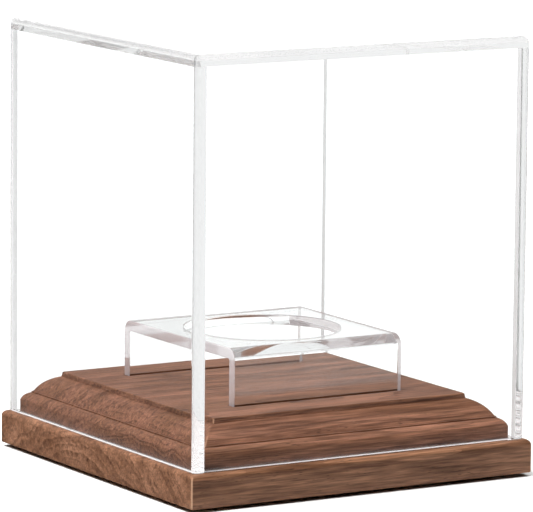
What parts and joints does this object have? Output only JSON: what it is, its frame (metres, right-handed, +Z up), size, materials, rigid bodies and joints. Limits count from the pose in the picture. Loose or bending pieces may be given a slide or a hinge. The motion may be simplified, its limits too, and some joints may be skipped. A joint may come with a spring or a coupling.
{
  "type": "baseball display case",
  "caption": "Square walnut base with moulded edges, a clear acrylic lift-off cover, and a bent clear riser with a round seat that holds one baseball.",
  "frame": {"origin": "middle of the footprint on the table, under the foot pads", "axes": "+Z up; -Y is the front, the side seen to the right of the near corner; the walnut's grain runs along X"},
  "size_m": [0.102, 0.102, 0.115],
  "materials": {
    "plinth_walnut": "American black walnut, planed and sanded, thin satin lacquer, darker board",
    "board_walnut": "American black walnut, routed and sanded, thin satin lacquer",
    "riser_acrylic": "clear cast acrylic, line-bent, polished edges",
    "cover_acrylic": "clear cast acrylic sheet, bonded, outside edges rounded and polished",
    "pad_rubber": "matt black rubber",
    "screw_steel": "zinc-plated steel"
  },
  "bodies": {
    "base": {"plinth_board": "plinth_walnut", "moulded_board": "board_walnut", "foot_pad_front_left": "pad_rubber", "foot_pad_front_right": "pad_rubber", "foot_pad_back_right": "pad_rubber", "foot_pad_back_left": "pad_rubber", "screw_front_left": "screw_steel", "screw_front_right": "screw_steel", "screw_back_right": "screw_steel", "screw_back_left": "screw_steel"},
    "riser": {"riser": "riser_acrylic"},
    "cover": {"cover_front_panel": "cover_acrylic", "cover_back_panel": "cover_acrylic", "cover_left_panel": "cover_acrylic", "cover_right_panel": "cover_acrylic", "cover_top_panel": "cover_acrylic"}
  },
  "joints": [
    {"name": "cover_lift", "type": "slide", "parent": "base", "child": "cover", "axis": [0, 0, 1], "range_m": [0, 0.12]},
    {"name": "riser_lift", "type": "slide", "parent": "base", "child": "riser", "axis": [0, 0, 1], "range_m": [0, 0.07]}
  ]
}
